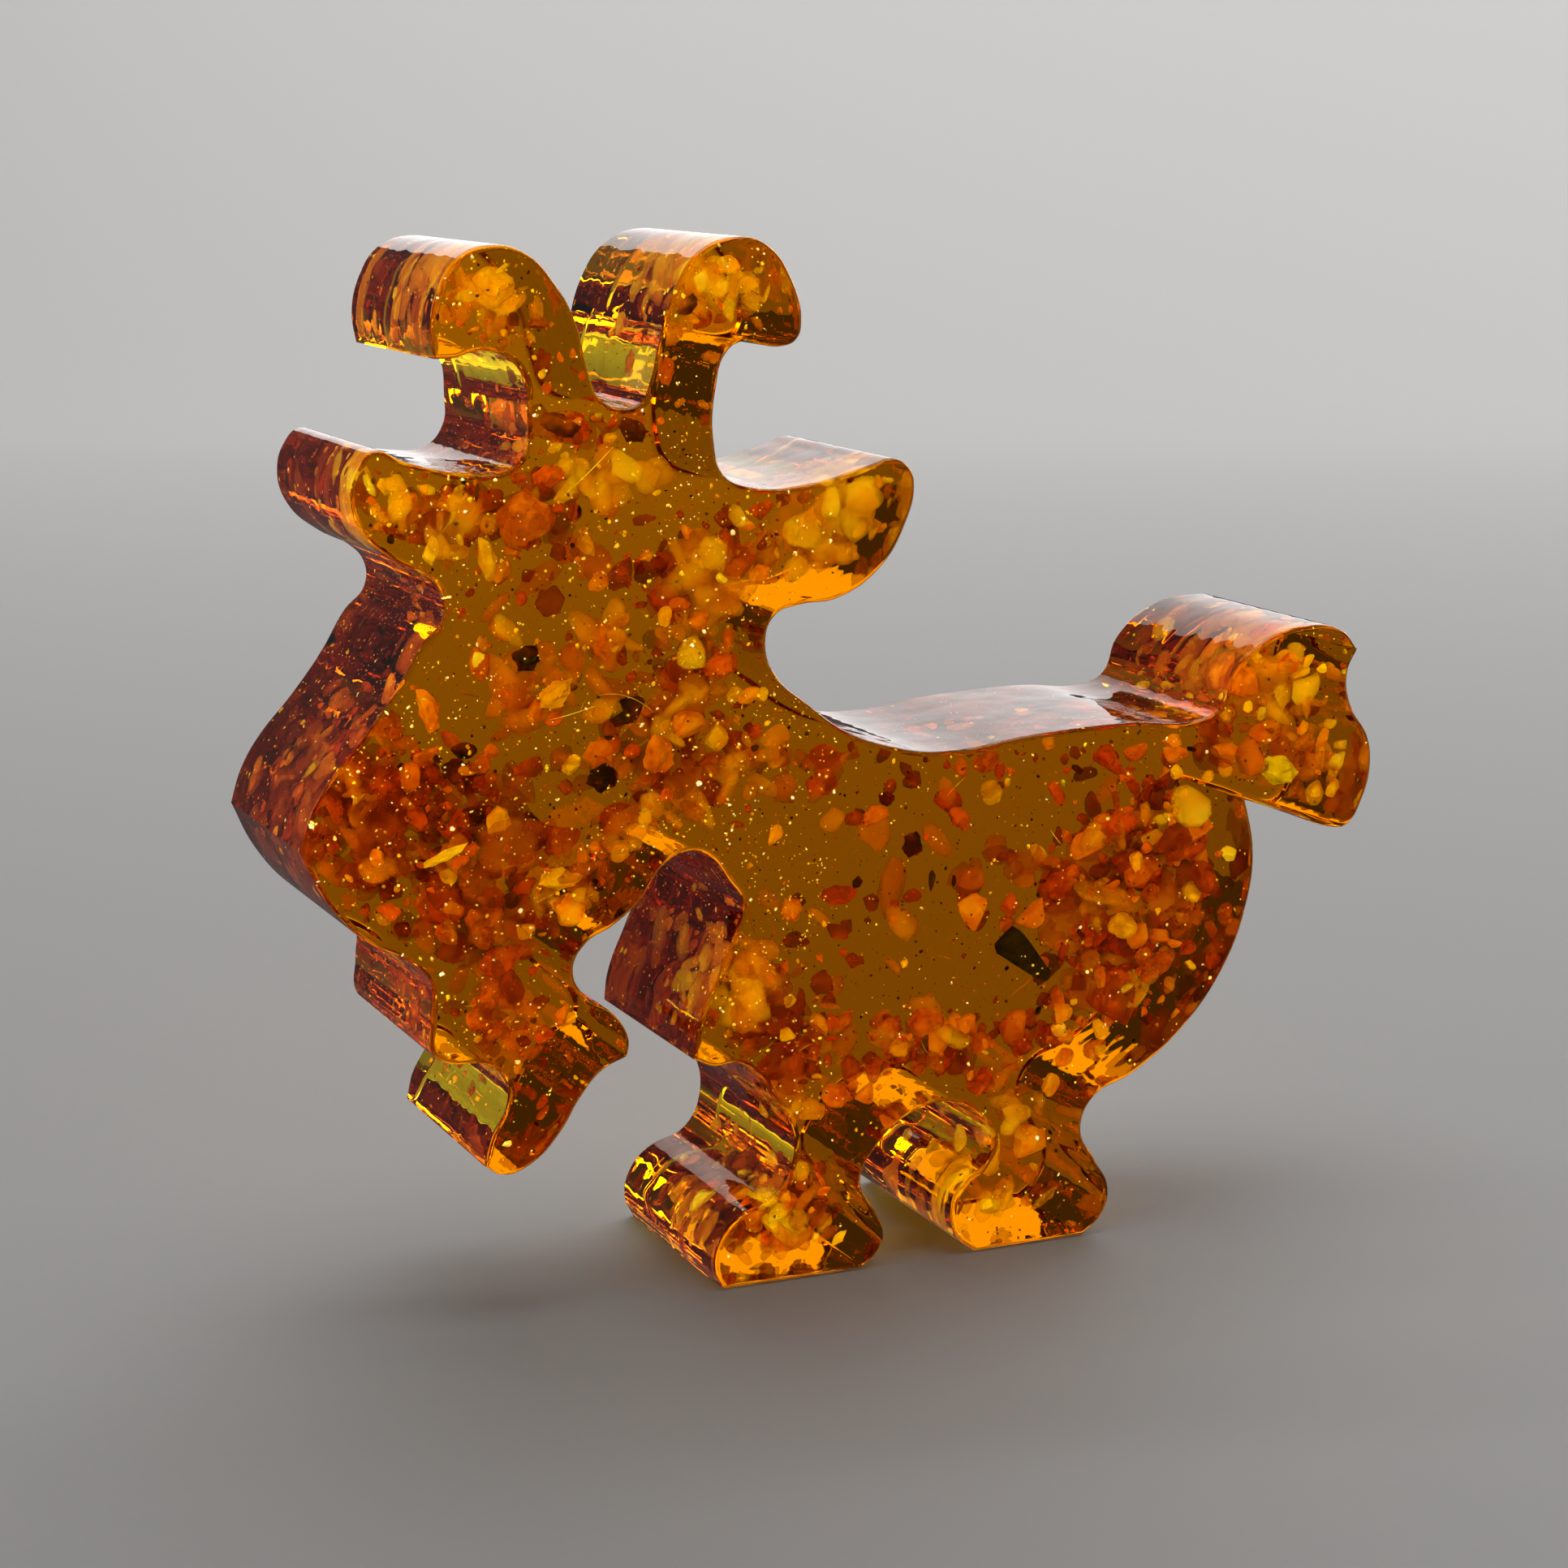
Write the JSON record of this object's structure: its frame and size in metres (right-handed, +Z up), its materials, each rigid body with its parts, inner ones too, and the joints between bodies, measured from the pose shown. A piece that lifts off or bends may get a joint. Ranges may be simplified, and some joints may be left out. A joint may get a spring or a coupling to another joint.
{
  "type": "amber goat figurine",
  "caption": "Flat goat cut from a slab of clear golden amber, standing on two level soles, with amber chips and a bark splinter sealed inside.",
  "frame": {"origin": "on the surface that the soles stand on, at the middle of the outline's width and of the slab's thickness", "axes": "+Z up, -X towards the goat's muzzle, -Y out of the front face"},
  "size_m": [0.0618, 0.0136, 0.055],
  "materials": {
    "clear_amber": "clear golden amber, polished",
    "cream_amber": "cloudy cream amber chip",
    "yellow_amber": "bright yellow amber chip",
    "orange_amber": "orange amber chip",
    "red_amber": "red-brown amber chip",
    "dark_amber": "nearly black amber chip",
    "green_amber": "green-yellow amber chip",
    "bark": "black bark, matt"
  },
  "bodies": {
    "root": {"amber_front_half": "clear_amber", "amber_back_half": "clear_amber", "bark_splinter": "bark", "chip_horn_left_yellow": "yellow_amber", "chip_horn_left_red": "red_amber", "chip_horn_right_dark": "dark_amber", "chip_horn_right_orange": "orange_amber", "chip_crown_dark_left": "dark_amber", "chip_crown_dark_right": "dark_amber", "chip_crown_red": "red_amber", "chip_ear_left_yellow": "yellow_amber", "chip_ear_left_red": "red_amber", "chip_ear_left_orange": "orange_amber", "chip_forehead_red": "red_amber", "chip_temple_orange": "orange_amber", "chip_ear_right_brown": "red_amber", "chip_ear_right_glow": "yellow_amber", "chip_brow_cream": "cream_amber", "chip_brow_orange": "cream_amber", "chip_brow_red": "red_amber", "chip_neck_glow": "orange_amber", "chip_neck_red": "red_amber", "chip_cheek_orange": "orange_amber", "chip_cheek_brown": "dark_amber", "chip_face_orange": "orange_amber", "chip_face_amber": "yellow_amber", "chip_throat_dark": "dark_amber", "chip_withers_glow": "yellow_amber", "chip_cheek_red": "red_amber", "chip_shoulder_dark": "dark_amber", "chip_shoulder_orange": "orange_amber", "chip_shoulder_glow": "orange_amber", "chip_cheek_cream": "cream_amber", "chip_muzzle_sliver": "cream_amber", "chip_muzzle_red": "red_amber", "chip_jaw_orange": "cream_amber", "chip_jaw_dark": "red_amber", "chip_beard_orange": "orange_amber", "chip_back_brown": "red_amber", "chip_back_orange": "orange_amber", "chip_flank_brown": "dark_amber", "chip_flank_orange": "orange_amber", "chip_flank_red": "red_amber", "chip_thigh_orange": "orange_amber", "chip_leg_red": "red_amber", "chip_belly_orange": "orange_amber", "chip_rump_orange": "orange_amber", "chip_rump_red": "red_amber", "chip_thigh_glow": "orange_amber", "chip_tail_green": "green_amber", "chip_tail_orange": "orange_amber", "chip_foot_red": "red_amber"}
  },
  "joints": []
}
